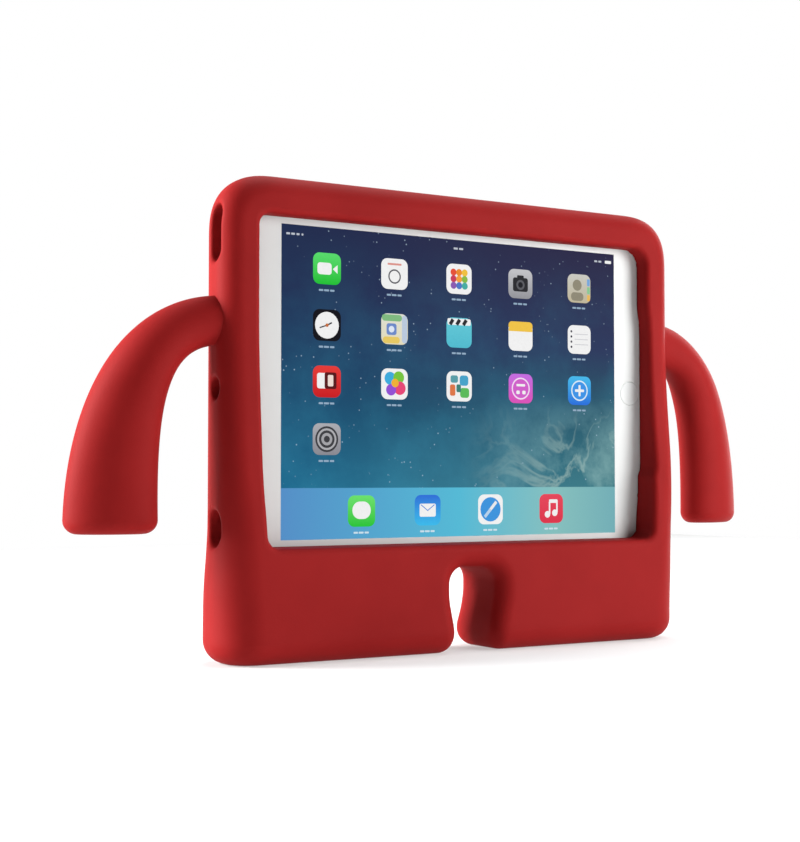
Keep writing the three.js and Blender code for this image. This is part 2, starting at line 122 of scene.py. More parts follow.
# ---------------------------------------------------------------- the foam case's shape
# The outline, seen from the front.
TOP_RISE = 0.4              # the soft top edge stands this far above the flat one in the CAD
TOP_CORNER = 24
CORNER_POWER = 2.8
STRAIGHT_BELOW = 40.0       # the sides are straight below this height
SIDE_IN = {"low": 0.2, "high": 1.3, "from": 24, "to": 52}

# The edges' radii. The front edge is rounder at the feet, the back edge a little sharper.
BOTTOM_ROUND = 9
FRONT_ROUND = {"low": 16, "high": 8.5, "from": 10, "to": 85}
BACK_ROUND = {"low": 18, "high": 20, "from": 10, "to": 60}

# The front stands this far out from the glass round the screen's top. It leans out to the feet's
# front between two heights, which are measured from the screen's middle.
RIM_HEIGHT = 7.5
LEAN_HEIGHTS = (25, -65)
FOOT_IN = 0.1               # the feet's front stands this far in from the CAD's

# The slot between the feet.
GAP_HALF = {"low": 8.9, "high": 11.1, "from": 8, "to": 24}
GAP_TOP = 33.8
GAP_SHIFT = 1.3
GAP_CORNER = 0.6            # the top corners' radius, as a share of the slot's half width
GAP_REACH = 60.0            # from the slot's top down to far below the floor
GAP_RIM = {"floor": 6, "front": 7, "back": 10}
GAP_RIM_DEPTHS = (-8, 8)    # where its rim changes from the front's radius to the back's
GAP_RIM_HEIGHTS = (2, 16)   # and from the floor's radius to theirs

# The opening over the screen, measured from the screen's middle.
WINDOW = {"left": 91.9, "right": 92.3, "top": 62.3, "bottom": 62.5}
WINDOW_CORNER = 4.5
TOP_RIGHT_CORNER = 7.0
CORNER_HEIGHTS = (20, 50)   # where the right side's corner changes from the one to the other
LEFT_TUCK = 1.6             # how much narrower it is at the left, low down
LEFT_TUCK_HEIGHTS = (-30, -66)
RIGHT_TUCK = 1.2
RIGHT_TUCK_HEIGHTS = (-37, -64)
BULGE = 1.4                 # how much wider it is at the right, beside the screen's middle
BULGE_TOP = (42, 24)
BULGE_BOTTOM = (-37, -31)
WINDOW_FLARE = 0.04
LIP_RIM = 2.4

# The pocket and the holes to the tablet's edges and camera.
POCKET_GAP = 0.5
POCKET_CORNER = 10.5
POCKET_FRONT_GAP = 0.25
POCKET_BACK_GAP = 0.4
POCKET_RIM = 0.6
# How much each side hole grows past its opening in the record, which the rounded rim needs.
PORTS = {"power_slot": 1.2, "microphone_hole": 1.5, "headphone_hole": 2.0, "charging_slot": 1.5}
VOLUME_SLOT_IN = 1.0        # how much narrower the volume slot is, to stay clear of the top edge
PORT_REACH = 2              # how far each hole runs in past the tablet's surface
CAMERA_RADIUS = 6.5
CAMERA_FLARE = 0.3
HOLE_RIM = 2.0

# The grid's step for the case's mesh.
FOAM_STEP = 1.2


def front_surface(z):
    """The front leans: the rim is thin round the screen's top and thick from its lower half down."""
    lean = smooth(*LEAN_HEIGHTS, z - SCREEN_Z)
    return mix(GLASS_Y - RIM_HEIGHT, FRONT_Y + FOOT_IN, lean)


def case_block(x, y, z):
    """The case as a soft slab, wide at the feet, with big round side edges."""
    half = HALF_WIDTH - rising(SIDE_IN, z)
    half_height = TOP_Z + TOP_RISE - STRAIGHT_BELOW
    sides = rounded(x, z - STRAIGHT_BELOW, half, half_height, TOP_CORNER, CORNER_POWER)
    sides = np.where(z > STRAIGHT_BELOW, sides, np.abs(x) - half)
    front = both(sides, front_surface(z) - y, rising(FRONT_ROUND, z))
    back = both(sides, y - BACK_Y, rising(BACK_ROUND, z))
    return both(np.maximum(front, back), -z, BOTTOM_ROUND)


def leg_gap(x, z):
    """The slot between the feet: round at the top, with a slightly narrower neck below."""
    half = rising(GAP_HALF, z)
    return rounded(x - GAP_SHIFT, z - GAP_TOP + GAP_REACH, half, GAP_REACH, half * GAP_CORNER)


def gap_rim(y, z):
    """The radius of the slot's edges: small at the floor, larger above it and largest at the back."""
    higher = mix(GAP_RIM["front"], GAP_RIM["back"], smooth(*GAP_RIM_DEPTHS, y))
    return mix(GAP_RIM["floor"], higher, smooth(*GAP_RIM_HEIGHTS, z))


def window(x, y, z):
    """The opening over the screen. It is widest beside the screen's middle and tucks in low down."""
    up = z - SCREEN_Z
    left = WINDOW["left"] - LEFT_TUCK * smooth(*LEFT_TUCK_HEIGHTS, up)
    beside = smooth(*BULGE_TOP, up) * smooth(*BULGE_BOTTOM, up)
    right = WINDOW["right"] + BULGE * beside - RIGHT_TUCK * smooth(*RIGHT_TUCK_HEIGHTS, up)
    half = np.where(x > 0, right, left)
    half_height = np.where(up > 0, WINDOW["top"], WINDOW["bottom"])
    corner = mix(WINDOW_CORNER, TOP_RIGHT_CORNER, smooth(*CORNER_HEIGHTS, up) * (x > 0))
    flare = WINDOW_FLARE * np.maximum(GLASS_Y - y, 0)
    hole = rounded(x, up, half, half_height, corner) - flare
    return np.maximum(hole, y - GLASS_Y - PORT_REACH)


def pocket(x, y, z):
    """The space that the tablet lies in."""
    half = (TABLET_HIGH - TABLET_LOW) / 2 + POCKET_GAP
    outline = rounded(x, z - SCREEN_Z, half[0], half[2], POCKET_CORNER)
    depth = np.maximum(GLASS_Y - POCKET_FRONT_GAP - y, y - TABLET_HIGH[1] - POCKET_BACK_GAP)
    return np.maximum(outline, depth)


def side_port(x, y, z, name, grow):
    """A slot through a side wall to the tablet's edge, a little larger than the record's opening."""
    centre, half = opening_mm(name)
    side = math.copysign(1, centre[0])
    half_y, half_z = half[1] + grow, half[2] + grow
    outline = rounded(y - centre[1], z - centre[2], half_y, half_z, min(half_y, half_z))
    return np.maximum(outline, TABLET_HIGH[0] - PORT_REACH - side * x)


def top_port(x, y, z):
    """The slot through the top wall to the volume and mute buttons, narrowed at its front."""
    centre, half = opening_mm("volume_slot")
    half_y = half[1] - VOLUME_SLOT_IN
    outline = rounded(x - centre[0], y - centre[1] - VOLUME_SLOT_IN / 2, half[0], half_y, half_y)
    return np.maximum(outline, TABLET_HIGH[2] - PORT_REACH - z)


def camera_hole(x, y, z):
    """A round hole that widens from the tablet's camera out to the case's back."""
    centre, _ = opening_mm("camera_hole")
    behind = y - TABLET_HIGH[1]
    radius = CAMERA_RADIUS + CAMERA_FLARE * np.maximum(behind, 0)
    return np.maximum(np.hypot(x - centre[0], z - centre[2]) - radius, -PORT_REACH - behind)


def foam_case(x, y, z):
    """Distance to the whole moulding without its arms: negative inside the foam."""
    foam = case_block(x, y, z)
    foam = without(foam, leg_gap(x, z), gap_rim(y, z))
    foam = without(foam, window(x, y, z), LIP_RIM)
    foam = without(foam, pocket(x, y, z), POCKET_RIM)
    for name, grow in PORTS.items():
        foam = without(foam, side_port(x, y, z, name, grow), HOLE_RIM)
    foam = without(foam, top_port(x, y, z), HOLE_RIM / 2)
    return without(foam, camera_hole(x, y, z), HOLE_RIM)


# ---------------------------------------------------------------- mesh from a shape function
def edge_crossings(value, axis):
    """Which grid edges along an axis cross the surface, and how far along each edge."""
    start = np.moveaxis(value, axis, 0)[:-1]
    end = np.moveaxis(value, axis, 0)[1:]
    crossing = (start < 0) != (end < 0)
    share = np.where(crossing, start / np.where(crossing, start - end, 1), 0)
    return np.moveaxis(crossing, 0, axis), np.moveaxis(share, 0, axis), np.moveaxis(start < 0, 0, axis)


def surface_net(shape, low, high, step):
    """Quads over a shape function's zero surface: one corner in each grid cell that it crosses."""
    axes = [np.arange(low[a] - 2 * step, high[a] + 3 * step, step) for a in range(3)]
    grid = np.meshgrid(*axes, indexing="ij")
    value = shape(*grid)
    cells = np.array(value.shape) - 1
    total = np.zeros((*cells, 3))
    count = np.zeros(cells)
    quads = []
    serial = np.arange(cells.prod()).reshape(cells)
    for axis in range(3):
        crossing, share, starts_inside = edge_crossings(value, axis)
        index = np.argwhere(crossing)
        place = index.astype(float)
        place[:, axis] += share[crossing]
        inside = starts_inside[crossing]
        across, up = (axis + 1) % 3, (axis + 2) % 3
        around = []
        for shift_across, shift_up in ((0, 0), (-1, 0), (-1, -1), (0, -1)):
            cell = index.copy()
            cell[:, across] += shift_across
            cell[:, up] += shift_up
            np.add.at(total, tuple(cell.T), place)
            np.add.at(count, tuple(cell.T), 1)
            around.append(serial[tuple(cell.T)])
        quad = np.stack(around, axis=1)
        quad[~inside] = quad[~inside][:, ::-1]
        quads.append(quad)
    used = count > 0
    number = np.full(cells, -1)
    number[used] = np.arange(used.sum())
    origin = np.array([a[0] for a in axes])
    points = origin + step * total[used] / count[used][:, None]
    return points, number.ravel()[np.concatenate(quads)]


def slope(shape, points, reach=0.05):
    """The shape function's gradient at some points."""
    columns = []
    for axis in range(3):
        ahead, behind = points.copy(), points.copy()
        ahead[:, axis] += reach
        behind[:, axis] -= reach
        columns.append((shape(*ahead.T) - shape(*behind.T)) / (2 * reach))
    return np.stack(columns, axis=1)


def settle(shape, points, step, rounds=4):
    """Moves points onto the zero surface, and gives the surface's direction there."""
    for _ in range(rounds):
        gradient = slope(shape, points)
        length = np.maximum((gradient**2).sum(1), 1e-6)
        move = gradient * (shape(*points.T) / length)[:, None]
        points = points - np.clip(move, -step / 2, step / 2)
    gradient = slope(shape, points)
    return points, gradient / np.maximum(np.linalg.norm(gradient, axis=1), 1e-6)[:, None]


def mesh_object(name, points, faces, normals=None):
    """A smooth-shaded object from points in millimetres."""
    mesh = bpy.data.meshes.new(name)
    corners = faces.tolist() if isinstance(faces, np.ndarray) else faces
    mesh.from_pydata((np.asarray(points) * MM).tolist(), [], corners)
    mesh.polygons.foreach_set("use_smooth", [True] * len(mesh.polygons))
    if normals is not None:
        mesh.normals_split_custom_set_from_vertices(normals.tolist())
    mesh.validate()
    mesh.update()
    piece = bpy.data.objects.new(name, mesh)
    bpy.context.scene.collection.objects.link(piece)
    return piece


# ---------------------------------------------------------------- arms
# An arm's upper and lower edges from the shoulder to the hand, seen from the front, as Bezier
# control points. They are measured outwards and upwards from the middle of the shoulder.
ARM_OUTER = ((-6, 9.4), (29.5, 10.6), (50.8, -25.2), (52.2, -74))
ARM_INNER = ((-6, -9), (14, -9), (20.6, -22.5), (19.5, -74))
SHOULDER_IN = 0.8           # how far the shoulder's middle stands in from the case's side
SHOULDER_DROP = 8.8         # and below the arm's top in the CAD
SHOULDER_DEPTH = 6.2        # half the arm's depth from front to back at the shoulder
HAND_DEPTH = 11.0           # and at the hand
FULL_DEPTH_AT = 0.55        # the share of its length after which it is as deep as the hand
ARM_Y = -1.8
ARM_SWEEP = 0.23            # how far the arm leans back for each millimetre that it reaches out
ARM_RINGS = 64
ARM_SIDES = 56
TIP_ROUND = 5.0
TIP_RINGS = 8
CAP_RINGS = 4


def bezier(control, t):
    a, b, c, d = (np.array(point, float) for point in control)
    return a * (1 - t) ** 3 + 3 * b * t * (1 - t) ** 2 + 3 * c * t * t * (1 - t) + d * t**3


def arm_ring(root, side, t, shrink, drop):
    """One ring of an arm, between its outer and inner edge curves."""
    outer, inner = bezier(ARM_OUTER, t), bezier(ARM_INNER, t)
    middle, half = (outer + inner) / 2, (outer - inner) / 2
    half_depth = mix(SHOULDER_DEPTH, HAND_DEPTH, smooth(0, FULL_DEPTH_AT, t)) - shrink
    angle = 2 * math.pi * np.arange(ARM_SIDES) / ARM_SIDES
    across = np.cos(angle) * (1 - shrink / np.linalg.norm(half))
    out = middle[0] + half[0] * across
    y = ARM_Y + ARM_SWEEP * out + np.sin(angle) * half_depth
    return np.stack([side * (root[0] + out), y, root[1] + middle[1] + half[1] * across - drop], axis=1)


def arm_rings(root, side):
    """The rings along an arm, then round its tip's edge, then inwards over its flat end."""
    rings = [arm_ring(root, side, t, 0, 0) for t in np.linspace(0, 1, ARM_RINGS)]
    for turn in np.linspace(0, math.pi / 2, TIP_RINGS + 1)[1:]:
        shrink = TIP_ROUND * (1 - math.cos(turn))
        rings.append(arm_ring(root, side, 1, shrink, TIP_ROUND * math.sin(turn)))
    for shrink in np.linspace(TIP_ROUND, HAND_DEPTH, CAP_RINGS + 2)[1:-1]:
        rings.append(arm_ring(root, side, 1, shrink, TIP_ROUND))
    return rings


def arm_shape(name, side):
    """An arm's points, and its faces: quads from ring to ring and one face that closes the end."""
    root = (HALF_WIDTH - SHOULDER_IN, box_mm(name)[1][2] - SHOULDER_DROP)
    points = np.concatenate(arm_rings(root, side))
    faces = []
    for start in range(0, len(points) - ARM_SIDES, ARM_SIDES):
        for i in range(ARM_SIDES):
            j = (i + 1) % ARM_SIDES
            faces.append([start + i, start + j, start + ARM_SIDES + j, start + ARM_SIDES + i])
    faces.append(list(range(len(points) - ARM_SIDES, len(points))))
    if side > 0:
        faces = [face[::-1] for face in faces]
    return points, faces


# ---------------------------------------------------------------- materials
def new_material(name):
    material = bpy.data.materials.new(name)
    material.use_nodes = True
    nodes, links = material.node_tree.nodes, material.node_tree.links
    shader = nodes["Principled BSDF"]
    return material, nodes, links, shader


def colour_ramp(nodes, stops):
    ramp = nodes.new("ShaderNodeValToRGB")
    while len(ramp.color_ramp.elements) < len(stops):
        ramp.color_ramp.elements.new(0.5)
    for element, (place, colour) in zip(ramp.color_ramp.elements, stops):
        element.position = place
        element.color = (*colour, 1)
    return ramp


def noise(nodes, links, coordinates, scale, detail=3.0, roughness=0.5):
    texture = nodes.new("ShaderNodeTexNoise")
    texture.inputs["Scale"].default_value = scale
    texture.inputs["Detail"].default_value = detail
    texture.inputs["Roughness"].default_value = roughness
    links.new(coordinates, texture.inputs["Vector"])
    return texture.outputs["Fac"]


def bump(nodes, links, height, strength, depth):
    """A bump map from a 0-to-1 height. Depth is in metres."""
    relief = nodes.new("ShaderNodeBump")
    relief.inputs["Strength"].default_value = strength
    relief.inputs["Distance"].default_value = depth
    links.new(height, relief.inputs["Height"])
    return relief


def foam_material():
    """Closed-cell foam: matte red with a fine moulded grain and slightly uneven colour."""
    material, nodes, links, shader = new_material("foam")
    place = nodes.new("ShaderNodeTexCoord").outputs["Object"]
    blotch = noise(nodes, links, place, 28, 4)
    tone = colour_ramp(nodes, [(0.3, (0.24, 0.0085, 0.0085)), (0.7, (0.275, 0.011, 0.011))])
    links.new(blotch, tone.inputs["Fac"])
    links.new(tone.outputs["Color"], shader.inputs["Base Color"])
    grain = noise(nodes, links, place, 2200, 2)
    cells = nodes.new("ShaderNodeTexVoronoi")
    cells.inputs["Scale"].default_value = 1500
    links.new(place, cells.inputs["Vector"])
    fine = bump(nodes, links, cells.outputs["Distance"], 0.18, 0.0001)
    coarse = bump(nodes, links, grain, 0.1, 0.0002)
    links.new(fine.outputs["Normal"], coarse.inputs["Normal"])
    links.new(coarse.outputs["Normal"], shader.inputs["Normal"])
    shader.inputs["Roughness"].default_value = 0.62
    shader.inputs["Specular IOR Level"].default_value = 0.06
    return material


def srgb(red, green, blue):
    """A colour given as it looks on a screen, 0 to 255, as the linear numbers that Blender mixes."""
    shades = (red, green, blue)
    return tuple(((v / 255 + 0.055) / 1.055) ** 2.4 if v > 10 else v / 255 / 12.92 for v in shades)


def plain_material(name, colour, roughness, metallic=0.0, grain=900, unevenness=0.06, specular=0.5):
    """A moulded or machined surface: one colour with a fine grain in its roughness and bump."""
    material, nodes, links, shader = new_material(name)
    place = nodes.new("ShaderNodeTexCoord").outputs["Object"]
    speckle = noise(nodes, links, place, grain, 3)
    low = tuple(c * (1 - unevenness) for c in colour)
    tone = colour_ramp(nodes, [(0.3, low), (0.7, colour)])
    links.new(speckle, tone.inputs["Fac"])
    links.new(tone.outputs["Color"], shader.inputs["Base Color"])
    spread = nodes.new("ShaderNodeMapRange")
    spread.inputs["To Min"].default_value = roughness * 0.85
    spread.inputs["To Max"].default_value = min(roughness * 1.15, 1)
    links.new(speckle, spread.inputs["Value"])
    links.new(spread.outputs["Result"], shader.inputs["Roughness"])
    relief = bump(nodes, links, speckle, 0.08, 0.00005)
    links.new(relief.outputs["Normal"], shader.inputs["Normal"])
    shader.inputs["Metallic"].default_value = metallic
    shader.inputs["Specular IOR Level"].default_value = specular
    return material


# ---------------------------------------------------------------- foam pieces
def make_case(material):
    """The shell, the lip and the feet as one moulding."""
    step = FOAM_STEP
    low = np.array([-HALF_WIDTH, FRONT_Y, 0])
    high = np.array([HALF_WIDTH, BACK_Y, TOP_Z])
    points, faces = surface_net(foam_case, low, high, step)
    points, normals = settle(foam_case, points, step)
    case = mesh_object("case_foam", points, faces, normals)
    case.data.materials.append(material)
    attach(case, "case")
    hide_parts("case_shell", "front_lip", "left_foot", "right_foot")


def make_arms(material):
    """Both arms, each curving out from beside the case and down to its hand."""
    for name, side in (("left_arm", -1), ("right_arm", 1)):
        arm = mesh_object(name + "_foam", *arm_shape(name, side))
        arm.data.materials.append(material)
        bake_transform(arm)
        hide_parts(name)


# ---------------------------------------------------------------- lit screen
# The picture on the screen. Its places are in millimetres from the screen's middle.
STATUS_Z = 56.6
COLUMNS = (-60.6, -30.3, 0.2, 30.7, 61.3)
ROWS = (44.2, 22.3, 0.5, -21.7)
DOCK_TOP = -40.5
DOCK_COLUMNS = (-45.2, -14.9, 15.4, 46.2)
DOCK_ROW = -49.5
TILE = 12.2
TILE_CORNER = 2.8
LABEL_DROP = 8.4            # from an icon's middle down to its label
LABEL_HEIGHT = 0.75
LABEL_BARS = ((-2.6, 1.9), (-0.2, 2.2), (2.3, 1.9))  # each bar's offset and width
STATUS_BARS = (
    (-77.4, 1.6), (-75.3, 1.6), (-73.2, 1.3), (-71.3, 0.8),
    (-1.4, 2.0), (1.2, 2.0),
    (70.4, 1.6), (72.6, 1.6),
)
LAYER = 0.012               # how far each layer of the picture stands in front of the one below it
CORNER_STEPS = 6
BAR_ROUNDNESS = 0.3         # a bar's corner radius, as a share of its thinner side

WHITE = srgb(246, 246, 246)
DARK = srgb(38, 38, 42)


def linear(nodes, links, coordinate, low, high):
    """A coordinate turned into 0 at low and 1 at high, both in millimetres."""
    span = nodes.new("ShaderNodeMapRange")
    span.inputs["From Min"].default_value = low * MM
    span.inputs["From Max"].default_value = high * MM
    links.new(coordinate, span.inputs["Value"])
    return span.outputs["Result"]


def blended(nodes, links, share, first, second):
    """Two colours mixed by a share. Each colour is an output socket or a plain colour."""
    mixer = nodes.new("ShaderNodeMix")
    mixer.data_type = "RGBA"
    links.new(share, mixer.inputs["Factor"])
    for socket, colour in ((mixer.inputs[6], first), (mixer.inputs[7], second)):
        if isinstance(colour, tuple):
            socket.default_value = (*colour, 1)
        else:
            links.new(colour, socket)
    return mixer.outputs[2]


def product(nodes, links, *factors):
    """Several 0-to-1 values multiplied together."""
    result = factors[0]
    for factor in factors[1:]:
        times = nodes.new("ShaderNodeMath")
        times.operation = "MULTIPLY"
        links.new(result, times.inputs[0])
        if isinstance(factor, float):
            times.inputs[1].default_value = factor
        else:
            links.new(factor, times.inputs[1])
        result = times.outputs["Value"]
    return result


def ramp_of(nodes, links, value, stops):
    """A value turned into a colour by a ramp."""
    ramp = colour_ramp(nodes, stops)
    links.new(value, ramp.inputs["Fac"])
    return ramp.outputs["Color"]


def above(nodes, links, value, low, high):
    """0 where a value is below low, and 1 where it is above high."""
    return ramp_of(nodes, links, value, [(low, (0, 0, 0)), (high, (1, 1, 1))])


def glow(shader, links, colour):
    """A lit part of the screen: it gives off its colour, under a smooth dark face."""
    links.new(colour, shader.inputs["Emission Color"])
    shader.inputs["Emission Strength"].default_value = 1.0
    shader.inputs["Base Color"].default_value = (0.004, 0.004, 0.005, 1)
    shader.inputs["Roughness"].default_value = 0.16
    shader.inputs["Specular IOR Level"].default_value = 0.005


def night_sky(nodes, links, across, up):
    """Dark blue that turns teal lower down, greener at the right."""
    left = ramp_of(nodes, links, up, [
        (0.16, srgb(24, 104, 140)),
        (0.45, srgb(22, 72, 108)),
        (0.8, srgb(30, 46, 82)),
        (1, srgb(30, 42, 76)),
    ])
    right = ramp_of(nodes, links, up, [
        (0.16, srgb(58, 122, 132)),
        (0.4, srgb(32, 88, 106)),
        (0.65, srgb(38, 52, 90)),
        (1, srgb(38, 33, 66)),
    ])
    return blended(nodes, links, across, left, right)


def with_clouds(nodes, links, place, x, z, sky):
    """Soft clouds and curled wisps at the lower right, and a faint haze low down."""
    cloud = above(nodes, links, noise(nodes, links, place, 26, 6, 0.6), 0.44, 0.62)
    right = linear(nodes, links, x, 0, 75)
    low_down = linear(nodes, links, z, SCREEN_Z - 2, SCREEN_Z - 36)
    corner = product(nodes, links, right, low_down, cloud, 0.85)
    sky = blended(nodes, links, corner, sky, srgb(150, 188, 180))
    curls = nodes.new("ShaderNodeTexNoise")
    curls.inputs["Scale"].default_value = 30
    curls.inputs["Detail"].default_value = 4
    curls.inputs["Distortion"].default_value = 1.6
    links.new(place, curls.inputs["Vector"])
    edge = [(0.46, (0, 0, 0)), (0.5, (1, 1, 1)), (0.55, (0, 0, 0))]
    strand = ramp_of(nodes, links, curls.outputs["Fac"], edge)
    right = linear(nodes, links, x, 5, 50)
    low_down = linear(nodes, links, z, SCREEN_Z - 6, SCREEN_Z - 34)
    wisp = product(nodes, links, right, low_down, strand, 0.45)
    sky = blended(nodes, links, wisp, sky, srgb(178, 206, 196))
    low_down = linear(nodes, links, z, SCREEN_Z + SCREEN_HALF[1], SCREEN_Z - 40)
    haze = product(nodes, links, cloud, low_down, 0.22)
    return blended(nodes, links, haze, sky, srgb(60, 150, 180))


def with_stars(nodes, links, place, sky):
    """Small pale specks, denser in some patches."""
    specks = nodes.new("ShaderNodeTexVoronoi")
    specks.inputs["Scale"].default_value = 380
    links.new(place, specks.inputs["Vector"])
    star = ramp_of(nodes, links, specks.outputs["Distance"], [(0.05, (1, 1, 1)), (0.14, (0, 0, 0))])
    patchy = above(nodes, links, noise(nodes, links, place, 90, 2), 0.5, 0.62)
    return blended(nodes, links, product(nodes, links, star, patchy, 0.6), sky, srgb(190, 215, 235))


def with_dock(nodes, links, across, z, sky):
    """The pale band under the lowest icons."""
    dock = ramp_of(nodes, links, across, [
        (0, srgb(84, 142, 198)),
        (0.5, srgb(82, 184, 212)),
        (0.8, srgb(132, 190, 188)),
        (1, srgb(112, 172, 180)),
    ])
    edge = SCREEN_Z + DOCK_TOP
    return blended(nodes, links, linear(nodes, links, z, edge + 0.1, edge - 0.1), sky, dock)


def wallpaper_material():
    """A night sky with stars, clouds at the lower right and a dock band."""
    material, nodes, links, shader = new_material("wallpaper")
    place = nodes.new("ShaderNodeTexCoord").outputs["Object"]
    split = nodes.new("ShaderNodeSeparateXYZ")
    links.new(place, split.inputs["Vector"])
    x, z = split.outputs["X"], split.outputs["Z"]
    across = linear(nodes, links, x, -SCREEN_HALF[0], SCREEN_HALF[0])
    up = linear(nodes, links, z, SCREEN_Z - SCREEN_HALF[1], SCREEN_Z + SCREEN_HALF[1])
    picture = night_sky(nodes, links, across, up)
    picture = with_clouds(nodes, links, place, x, z, picture)
    picture = with_stars(nodes, links, place, picture)
    glow(shader, links, with_dock(nodes, links, across, z, picture))
    return material


def picture_material():
    """The colours of the icons' faces, with a faint grain so that they aren't perfectly flat."""
    material, nodes, links, shader = new_material("screen_picture")
    place = nodes.new("ShaderNodeTexCoord").outputs["Object"]
    tint = nodes.new("ShaderNodeAttribute")
    tint.attribute_name = "tint"
    grain = product(nodes, links, noise(nodes, links, place, 1500, 2), 0.12)
    glow(shader, links, blended(nodes, links, grain, tint.outputs["Color"], (0.0, 0.0, 0.0)))
    return material


# Each shape below gives an outline on the screen, anticlockwise as the viewer sees it.
def round_patch(x, z, width, height, radius):
    """A rounded rectangle round a point."""
    outline = []
    for quarter, (sx, sz) in enumerate(((1, 1), (-1, 1), (-1, -1), (1, -1))):
        centre_x = x + sx * (width / 2 - radius)
        centre_z = z + sz * (height / 2 - radius)
        for step in range(CORNER_STEPS + 1):
            angle = math.pi / 2 * (quarter + step / CORNER_STEPS)
            outline.append((centre_x + radius * math.cos(angle), centre_z + radius * math.sin(angle)))
    return outline


def disc(x, z, radius):
    return round_patch(x, z, 2 * radius, 2 * radius, radius)


def bar(x, z, width, height):
    return round_patch(x, z, width, height, min(width, height) * BAR_ROUNDNESS)


def stroke(x, z, length, width, angle):
    """A thin straight stroke from a point, turned clockwise from upright by an angle."""
    along = np.array([math.sin(angle), math.cos(angle)])
    side = np.array([along[1], -along[0]]) * width / 2
    start, end = np.array([x, z]), np.array([x, z]) + along * length
    return [tuple(p) for p in (end + side, end - side, start - side, start + side)]


def app(x, z, top, bottom, *glyphs):
    """An icon: its rounded tile, its glyphs on the next layers, and pale bars for its label.

    The tile's colour runs from top to bottom. The glyphs' places are measured from its middle.
    """
    marks = [(round_patch(x, z, TILE, TILE, TILE_CORNER), top, bottom, 1)]
    for layer, (outline, colour) in enumerate(glyphs):
        placed = [(x + across, z + up) for across, up in outline]
        marks.append((placed, colour, colour, 2 + layer))
    label = srgb(150, 176, 200) if z > DOCK_TOP else srgb(205, 228, 238)
    for offset, width in LABEL_BARS:
        marks.append((bar(x + offset, z - LABEL_DROP, width, LABEL_HEIGHT), label, label, 1))
    return marks


def dot_grid(pitch, radius, colours):
    """Nine small discs in three rows."""
    places = [(pitch * across, -pitch * down) for down in (-1, 0, 1) for across in (-1, 0, 1)]
    return [(disc(x, z, radius), srgb(*colour)) for (x, z), colour in zip(places, colours)]


def first_row():
    """A video camera, a ring, nine dots, a camera and a contact card."""
    x, z = COLUMNS, ROWS[0]
    dots = (
        (235, 80, 50), (240, 140, 40), (245, 195, 60),
        (205, 60, 90), (250, 160, 60), (140, 190, 70),
        (140, 90, 180), (80, 120, 200), (70, 175, 165),
    )
    return (
        app(x[0], z, srgb(90, 225, 110), srgb(30, 195, 50),
            (round_patch(-1.1, 0, 6.2, 4.6, 1.2), WHITE),
            ([(4.6, -1.7), (4.6, 1.7), (2.5, 0)], WHITE))
        + app(x[1], z, WHITE, WHITE,
              (bar(0, 3.9, 6.4, 0.8), srgb(225, 150, 140)),
              (disc(0, -1.0, 2.9), srgb(90, 90, 96)),
              (disc(0, -1.0, 2.3), WHITE))
        + app(x[2], z, WHITE, WHITE, *dot_grid(2.7, 1.45, dots))
        + app(x[3], z, srgb(200, 200, 204), srgb(150, 150, 156),
              (round_patch(0, -0.3, 7.6, 5.8, 1), DARK),
              (bar(0, 2.9, 3.4, 1.4), DARK),
              (disc(0, -0.4, 2.1), srgb(92, 92, 98)),
              (disc(0, -0.4, 1.2), srgb(24, 24, 30)))
        + app(x[4], z, srgb(206, 206, 198), srgb(196, 186, 156),
              (disc(-1, 1.4, 2.4), srgb(146, 140, 120)),
              (round_patch(-1, -3.5, 6.6, 3.6, 1.6), srgb(146, 140, 120)),
              (bar(5, 2.8, 1.5, 3), srgb(120, 170, 225)),
              (bar(5, -0.6, 1.5, 3), srgb(140, 205, 150)),
              (bar(5, -3.8, 1.5, 2.6), srgb(240, 190, 90)))
    )


def second_row():
    """A clock, a map, a clapperboard, a note pad and a list."""
    x, z = COLUMNS, ROWS[1]
    clapper = [(round_patch(0, 4.4, TILE - 1, 2.6, 0.6), WHITE)]
    clapper += [(stroke(dx, 3.2, 2.6, 1.6, 0.6), DARK) for dx in (-4.4, -1.2, 2.0)]
    lines = [(disc(-4.2, dz, 0.5), srgb(70, 70, 80)) for dz in (3.4, 1.2, -1.0, -3.2)]
    lines += [(bar(1, dz, 7.2, 0.3), srgb(205, 205, 210)) for dz in (2.3, 0.1, -2.1)]
    return (
        app(x[0], z, srgb(16, 16, 22), srgb(16, 16, 22),
            (disc(0, 0, 5.2), WHITE),
            (stroke(0, 0, 3.4, 0.5, -1.9), srgb(60, 60, 66)),
            (stroke(0, 0, 2.4, 0.6, 1.1), srgb(60, 60, 66)),
            (disc(0, 0, 0.7), srgb(200, 110, 60)))
        + app(x[1], z, srgb(226, 228, 216), srgb(232, 224, 190),
              (round_patch(-1.2, 4.4, 9.2, 2.6, 1.2), srgb(130, 190, 130)),
              (round_patch(-1.5, -4.4, 7.8, 2.6, 1.2), srgb(236, 205, 100)),
              (round_patch(4.6, 0, 2.4, 11, 1.1), srgb(190, 206, 226)),
              (round_patch(-1.4, -0.1, 4.6, 4.6, 1), srgb(110, 140, 205)),
              (disc(-1.4, -0.1, 1.3), srgb(225, 235, 250)))
        + app(x[2], z, srgb(100, 205, 220), srgb(80, 190, 210), *clapper)
        + app(x[3], z, WHITE, WHITE,
              (round_patch(0, 4.3, TILE, 3.6, 1.7), srgb(245, 200, 70)),
              (bar(0, 2.6, TILE - 0.1, 1.2), srgb(245, 200, 70)))
        + app(x[4], z, WHITE, WHITE, *lines)
    )


